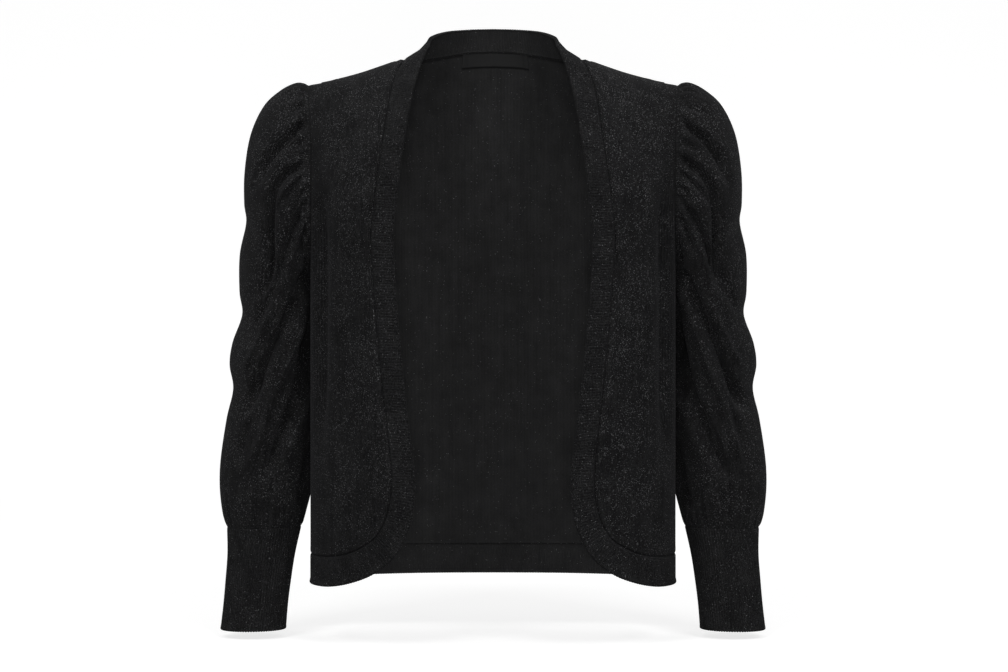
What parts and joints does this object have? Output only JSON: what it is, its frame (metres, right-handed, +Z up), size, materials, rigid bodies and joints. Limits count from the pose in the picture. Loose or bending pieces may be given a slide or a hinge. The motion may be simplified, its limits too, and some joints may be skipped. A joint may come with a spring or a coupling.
{
  "type": "puff-sleeve open cardigan",
  "caption": "Worn, hollow open-front cropped cardigan in fine knit, with gathered puff sleeves, long ribbed cuffs and a ribbed band round neck, fronts and hem.",
  "frame": {"origin": "midway between the two shoulders, at the height where the neck seam crosses the shoulder line", "axes": "+X to the wearer's left, +Y to the wearer's back, +Z up"},
  "size_m": [0.5532, 0.2078, 0.6098],
  "materials": {
    "knit": "fine plain knit with scattered metallic flecks",
    "rib": "fine one-by-one rib with scattered metallic flecks",
    "label": "smooth woven satin, blank"
  },
  "bodies": {
    "root": {"back": "knit", "front_left": "knit", "front_right": "knit", "sleeve_left": "knit", "sleeve_right": "knit", "cuff_left": "rib", "cuff_right": "rib", "front_band_left": "rib", "front_band_right": "rib", "neck_band": "rib", "back_hem_band": "rib", "neck_label": "label"}
  },
  "joints": []
}
